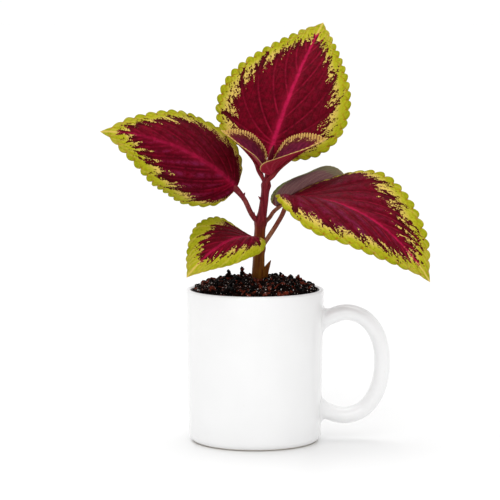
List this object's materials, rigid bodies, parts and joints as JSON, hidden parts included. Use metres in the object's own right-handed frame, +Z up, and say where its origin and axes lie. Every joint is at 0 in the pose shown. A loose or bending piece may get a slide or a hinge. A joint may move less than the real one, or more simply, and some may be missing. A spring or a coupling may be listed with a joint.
{
  "type": "potted coleus in a mug",
  "caption": "Young coleus with toothed, two-coloured leaves on a square stem, growing in compost in a plain white ceramic mug with a handle.",
  "frame": {"origin": "centre of the mug's flat foot, on the table, on the mug's axis", "axes": "+Z up the mug's axis, +X towards the mug's handle, -Y towards the side that shows the faces of the leaves"},
  "size_m": [0.1921, 0.1198, 0.2483],
  "materials": {
    "glaze": "gloss",
    "compost": "matte",
    "stem": "satin",
    "leaf": "satin"
  },
  "bodies": {
    "root": {"mug": "glaze", "soil": "compost", "stem": "stem", "leaf_left": "leaf", "leaf_top": "leaf", "leaf_right": "leaf", "leaf_back_right": "leaf", "leaf_low_left": "leaf", "leaf_young_left": "leaf", "leaf_young_right": "leaf"}
  },
  "joints": []
}
